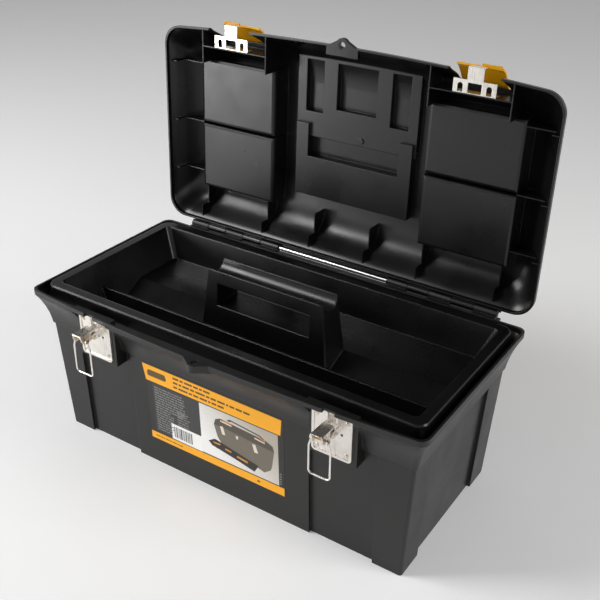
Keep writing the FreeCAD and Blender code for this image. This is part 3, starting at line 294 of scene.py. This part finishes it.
def printed_film(name, colour, other=None, across=None):
    """Ink under a glossy laminate. With other, the ink fades to that colour along a direction."""
    material, tree, output = start_material(name)
    place = add(tree, "ShaderNodeTexCoord")
    dots = add(
        tree,
        "ShaderNodeTexVoronoi",
        {"Scale": per_metre(DOT_MM)},
        {"Vector": place.outputs["Object"]},
    )
    if other is None:
        ink = add(tree, "ShaderNodeRGB")
        ink.outputs[0].default_value = linear(colour)
        source = ink.outputs[0]
    else:
        start, end = across
        way = end - start
        shift = add(
            tree,
            "ShaderNodeVectorMath",
            {"operation": "SUBTRACT", 1: tuple(start)},
            {0: place.outputs["Object"]},
        )
        share = add(
            tree,
            "ShaderNodeVectorMath",
            {"operation": "DOT_PRODUCT", 1: tuple(way / way.length_squared)},
            {0: shift.outputs["Vector"]},
        )
        fade = add(
            tree,
            "ShaderNodeMix",
            {"data_type": "RGBA", 6: linear(colour), 7: linear(other)},
            {0: share.outputs["Value"]},
        )
        source = fade.outputs[2]
    strength = add(
        tree,
        "ShaderNodeMapRange",
        {"From Min": 0.0, "From Max": 0.6, "To Min": 0.88, "To Max": 1.06},
        {"Value": dots.outputs["Distance"]},
    )
    screened = add(
        tree,
        "ShaderNodeVectorMath",
        {"operation": "SCALE"},
        {0: source, "Scale": strength.outputs["Result"]},
    )
    surface = add(
        tree,
        "ShaderNodeBsdfPrincipled",
        {"IOR": FILM_IOR, "Roughness": FILM_ROUGHNESS},
        {"Base Color": screened.outputs["Vector"]},
    )
    tree.links.new(surface.outputs["BSDF"], output.inputs["Surface"])
    return material


film_black = printed_film("laminated_film_black", "#1c1c1b")
print("film:", film_black.name)

# %% [markdown]
# Each CAD node already has its true shape, so it only needs its finish. A table says which
# node is made of what.

# %% Finish the CAD nodes
FINISHES = {
    "tub": tub_plastic,
    "tray": tray_plastic,
    "lid": lid_plastic,
    "carry_handle": handle_plastic,
    "hinge_rod": plated_rod,
    "handle_pins": plated_rod,
    "plate_rivets": plated_rivets,
    "keeper_rivets": plated_rivets,
    "label": film_black,
}
for side in ("left", "right"):
    FINISHES[f"organiser_cover_{side}"] = yellow_plastic
    FINISHES[f"latch_plate_{side}"] = plated_sheet
    FINISHES[f"latch_lever_{side}"] = plated_sheet
    FINISHES[f"keeper_{side}"] = plated_sheet
    FINISHES[f"latch_bail_{side}"] = plated_wire
    FINISHES[f"latch_pivot_{side}"] = yellow_zinc
    FINISHES[f"bail_pin_{side}"] = yellow_zinc

for node, material in FINISHES.items():
    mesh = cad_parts[node].data
    mesh.materials.clear()
    mesh.materials.append(material)
missing = sorted(set(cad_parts) - set(FINISHES))
print("finished nodes:", len(FINISHES), "missing:", missing)

# %% [markdown]
# The print on the label is drawn as flat shapes that lie on the film, one mesh for each ink.
# A picture texture would be the usual way, but shapes stay sharp and need no file. Every shape
# is given in millimetres on the tub's sloping front: x along the box and z up. Layers stand a
# few hundredths of a millimetre apart, so that none flickers through another.

# %% Lay shapes on the label
film_low, film_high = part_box("label")
FILM_THICKNESS = 0.25 * MM
LAYER_STEP = 0.03 * MM


def on_film(x_mm, z_mm, layer):
    """The point on the film's face at x and z, raised by a number of layers."""
    share = (z_mm * MM - film_low[2]) / (film_high[2] - film_low[2])
    face = (film_high[1] - FILM_THICKNESS) * (1 - share) + film_low[1] * share
    return Vector((x_mm * MM, face - layer * LAYER_STEP, z_mm * MM))


def printed(name, material, shapes, layer):
    """One ink: a mesh of flat shapes, each a list of (x, z) corners in millimetres."""
    drawing = bmesh.new()
    for corners in shapes:
        face = drawing.faces.new([drawing.verts.new(on_film(x, z, layer)) for x, z in corners])
        face.normal_update()
        if face.normal.y > 0:
            face.normal_flip()
    mesh = bpy.data.meshes.new(name)
    drawing.to_mesh(mesh)
    drawing.free()
    piece = bpy.data.objects.new(name, mesh)
    bpy.context.scene.collection.objects.link(piece)
    mesh.materials.append(material)
    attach(piece, "tub")
    print(name, len(shapes), "shapes")


def strip(left, right, low, high):
    """A plain rectangle."""
    return [(left, low), (right, low), (right, high), (left, high)]


# %% [markdown]
# A yellow band runs along the top and another along the bottom. Between them are a dark panel
# of small print, a bar code, and a pale ground with a small picture of the box.

# %% Bands and grounds
band_yellow = printed_film("laminated_ink_yellow", "#f9ad08")
panel_grey = printed_film("laminated_ink_dark_grey", "#343434")
ground_fade = printed_film(
    "laminated_ink_pale_fade", "#f1f0ee", "#b3aa9c", (on_film(0, 62, 0), on_film(70, 136, 0))
)
printed(
    "label_bands",
    band_yellow,
    [
        [(-120.5, 164.2), (-116, 138.5), (102, 138.8), (104, 163.2)],
        [(-116, 41.5), (106.5, 42.5), (106.5, 55.5), (-116, 53)],
    ],
    1,
)
printed(
    "label_panel",
    panel_grey,
    [[(-106, 57), (-78.5, 56.5), (-78.5, 81), (-26, 82), (-26.5, 137), (-106, 136.5)]],
    1,
)
printed("label_ground", ground_fade, [[(-26, 56), (98.5, 57), (98, 137.5), (-26, 137)]], 1)
printed("label_code_ground", printed_film("laminated_ink_white", "#f4f3f1"), [strip(-78, -26, 55, 81)], 1)

# %% [markdown]
# Small print reads as broken grey lines from any distance, so it is drawn as short bars of
# uneven length with gaps for the spaces. No lettering is needed. The lengths come from a fixed
# pattern, so that the label is the same each time.

# %% Lines of small print
WORDS = (9, 5, 12, 7, 4, 10, 6, 14, 5, 8, 11, 3, 7, 9)
WORD_GAP = 1.8
ROW_STEP = 4.1


def line_of_words(left, right, middle, height, start, size=1.0):
    """Bars for one line of print, from left to right, beginning at one place in the pattern."""
    bars = []
    x = left
    place = start
    while True:
        width = WORDS[place % len(WORDS)] * size
        if x + width > right:
            return bars
        bars.append(strip(x, x + width, middle - height / 2, middle + height / 2))
        x += width + WORD_GAP * size
        place += 1


title = []
for row, (right, middle) in enumerate(((-2, 158.5), (62, 151.5), (22, 144.5))):
    title += line_of_words(-68, right, middle, 3.0, 3 * row, 1.1)
title += [[(-112, 147), (-82, 147), (-80, 150), (-82, 157), (-110, 157), (-113, 153)]]
title += line_of_words(-108, -60, 47.5, 1.6, 2, 0.6) + [strip(64, 68, 47, 50)]
printed("label_title_print", printed_film("laminated_ink_brown_black", "#5a4208"), title, 2)

notes = []
for row in range(18):
    middle = 131 - ROW_STEP * row
    right = -50 if row < 9 else -70
    notes += line_of_words(-103, right, middle, 1.9, 5 * row, 0.75)
for row in range(6):
    notes += line_of_words(-66, -44, 104 - ROW_STEP * row, 1.7, 3 * row + 1, 0.7)
notes += [strip(100, 102.5, 60 + 4 * i, 62 + 4 * i) for i in range(5)]
printed("label_small_print", printed_film("laminated_ink_mid_grey", "#7d7d7c"), notes, 2)

# %% [markdown]
# A bar code is a row of dark bars of a few set widths on white. These widths are made up.

# %% Bar code
BAR_WIDTHS = (1.5, 0.7, 2.2, 0.7, 0.7, 1.5, 2.9, 0.7, 1.5, 0.7, 2.2, 0.7, 1.5, 1.5, 0.7, 2.2)
BAR_SHARE = 0.8
BAR_GAP = 0.9
bars = []
x = -73.5
for width in BAR_WIDTHS:
    bars.append(strip(x, x + width * BAR_SHARE, 59, 77))
    x += width * BAR_SHARE + BAR_GAP
printed("label_bar_code", printed_film("laminated_ink_soft_black", "#3c3b3a"), bars, 2)

# %% [markdown]
# The little picture shows the same kind of box shut, with its tray in front. A few flat shapes
# in the box's own colours are enough at this size.

# %% Picture of the box
printed(
    "label_picture_body",
    printed_film("laminated_ink_taupe", "#6f675a"),
    [
        [(2, 93), (-3, 112), (0, 121), (8, 125), (80, 120.5), (90, 116)]
        + [(92, 108), (88, 82), (86, 76), (76, 68), (60, 72), (10, 82)]
    ],
    2,
)
printed(
    "label_picture_lid",
    printed_film("laminated_ink_dark_taupe", "#4f483d"),
    [
        [(-3, 112), (0, 121), (8, 125), (80, 120.5), (90, 116), (92, 108), (60, 109), (20, 112)],
        [(18, 127), (24, 130), (70, 125.5), (78, 121), (74, 121), (68, 123.5), (26, 127.5), (22, 125.5)],
    ],
    3,
)
printed(
    "label_picture_metal",
    printed_film("laminated_ink_cream", "#e2d6c6"),
    [
        [(7, 113), (12, 113.5), (15, 101), (10, 100.5)],
        [(58, 106.5), (63, 107), (67, 94.5), (61, 94)],
        [(32, 108), (36, 108), (35.5, 103), (33, 103)],
        [(8, 122.5), (26, 121.5), (26, 119.5), (8, 120.5)],
        [(62, 118.5), (78, 117), (78, 115), (62, 116.5)],
    ],
    4,
)
printed(
    "label_picture_tray",
    printed_film("laminated_ink_black", "#23201d"),
    [[(-14, 80), (-3, 87.5), (67, 74), (60, 61.5), (30, 68), (-8, 74.5)]],
    3,
)
printed(
    "label_picture_tools",
    printed_film("laminated_ink_orange", "#d08a2c"),
    [
        [(-6, 82), (6, 82.5), (5, 80), (-5, 79.5)],
        [(14, 79), (24, 78), (23, 75.5), (13, 76.5)],
        [(33, 75.5), (50, 73), (49, 70), (32, 72.5)],
        [(10, 121.5), (28, 123.2), (28, 124.6), (10, 123.4)],
        [(66, 121.2), (79, 118.3), (79, 119.8), (66, 122.6)],
    ],
    4,
)

# %% [markdown]
# The floor is a plain pale sheet, like the paper sweep of a small studio. It has a trace of
# tooth so that it isn't a flat colour, and a faint glow that lifts it towards white.

# %% Floor
PAPER_GLOW = 0.15
PAPER_TOOTH_MM = 40
FLOOR_HALF_WIDTH = 15.0
FLOOR_DROP = 0.2 * MM
paper, paper_tree, paper_output = start_material("studio_paper")
paper_place = add(paper_tree, "ShaderNodeTexCoord")
paper_tooth = add(
    paper_tree,
    "ShaderNodeTexNoise",
    {"Scale": per_metre(PAPER_TOOTH_MM), "Detail": 2.0},
    {"Vector": paper_place.outputs["Object"]},
)
paper_tint = add(
    paper_tree,
    "ShaderNodeMix",
    {"data_type": "RGBA", 6: linear("#f7f7f7"), 7: linear("#fbfbfb")},
    {0: paper_tooth.outputs["Fac"]},
)
paper_surface = add(
    paper_tree,
    "ShaderNodeBsdfPrincipled",
    {"Roughness": 0.85, "Emission Strength": PAPER_GLOW},
    {"Base Color": paper_tint.outputs[2], "Emission Color": paper_tint.outputs[2]},
)
paper_tree.links.new(paper_surface.outputs["BSDF"], paper_output.inputs["Surface"])

sweep = bmesh.new()
bmesh.ops.create_grid(sweep, x_segments=2, y_segments=2, size=FLOOR_HALF_WIDTH)
floor_mesh = bpy.data.meshes.new("studio_floor")
sweep.to_mesh(floor_mesh)
sweep.free()
floor_mesh.materials.append(paper)
floor = bpy.data.objects.new("studio_floor", floor_mesh)
floor.location.z = cad_box[0][2] - FLOOR_DROP
bpy.context.scene.collection.objects.link(floor)
print("floor at", round(floor.location.z, 4))

# %% [markdown]
# Black plastic shows mostly what it reflects, so the light is a set of large soft boxes rather
# than small lamps: one high on the left, one low on the left that the lid's wells mirror, and
# a weaker one on the right. The sky is pale at the horizon and dim overhead, so that the
# hollows of the lid stay dark.

# %% Light
HORIZON_STRENGTH = 1.0
OVERHEAD_STRENGTH = 0.06


def soft_box(name, place, target, size, power):
    """A square area lamp at a place, turned to face a target."""
    lamp = bpy.data.lights.new(name, "AREA")
    lamp.shape = "SQUARE"
    lamp.size = size
    lamp.energy = power
    holder = bpy.data.objects.new(name, lamp)
    holder.location = place
    holder.rotation_euler = (Vector(target) - Vector(place)).to_track_quat("-Z", "Y").to_euler()
    bpy.context.scene.collection.objects.link(holder)


soft_box("key_high_left", (-1.7, -1.1, 2.1), (0, 0, 0.2), 1.1, 44)
soft_box("low_left", (-1.25, -1.1, 0.28), (0, 0.1, 0.35), 0.5, 7)
soft_box("side_right", (2.2, 0.3, 1.3), (0.1, 0, 0.15), 1.0, 22)

sky = bpy.data.worlds.new("pale_sky")
bpy.context.scene.world = sky
sky.use_nodes = True
sky_tree = sky.node_tree
direction = add(sky_tree, "ShaderNodeTexCoord")
parts = add(sky_tree, "ShaderNodeSeparateXYZ", None, {"Vector": direction.outputs["Generated"]})
height = add(
    sky_tree,
    "ShaderNodeMapRange",
    {"From Min": 0.05, "From Max": 0.62, "To Min": HORIZON_STRENGTH, "To Max": OVERHEAD_STRENGTH},
    {"Value": parts.outputs["Z"]},
)
sky_tree.nodes["Background"].inputs["Color"].default_value = linear("#fbfbfb")
sky_tree.links.new(height.outputs["Result"], sky_tree.nodes["Background"].inputs["Strength"])
bpy.context.scene.view_settings.view_transform = "Standard"
print("lamps:", len(bpy.data.lights))

# %% [markdown]
# The camera stands in front on the right and looks down at the open box. Its place is worked
# out from an azimuth, a height angle and a distance, and then moved sideways in its own plane
# so that the box fills the picture.

# %% Camera
AZIMUTH = math.radians(33.53)
HEIGHT = math.radians(29.30)
ROLL = math.radians(0.53)
DISTANCE = 1.32084
ASIDE = 0.04115
ABOVE = 0.20853
FOCAL_SHARE = 1.523417

level = math.cos(HEIGHT)
away = Vector((math.sin(AZIMUTH) * level, -math.cos(AZIMUTH) * level, math.sin(HEIGHT)))
across = Vector((math.cos(AZIMUTH), math.sin(AZIMUTH), 0.0))
upward = away.cross(across)
side_axis = math.cos(ROLL) * across + math.sin(ROLL) * upward
top_axis = -math.sin(ROLL) * across + math.cos(ROLL) * upward

lens = bpy.data.cameras.new("studio_camera")
lens.sensor_width = 36.0
lens.lens = FOCAL_SHARE * lens.sensor_width
lens.clip_start = 0.01
camera = bpy.data.objects.new("studio_camera", lens)
turn = Matrix((side_axis, top_axis, away)).transposed()
stand = away * DISTANCE + side_axis * ASIDE + top_axis * ABOVE
camera.matrix_world = Matrix.Translation(stand) @ turn.to_4x4()
bpy.context.scene.collection.objects.link(camera)
bpy.context.scene.camera = camera
print("camera at", [round(c, 3) for c in camera.location], "lens", round(lens.lens, 2))

# %% Sizes
print("cad box", [[round(v, 4) for v in c] for c in cad_box])
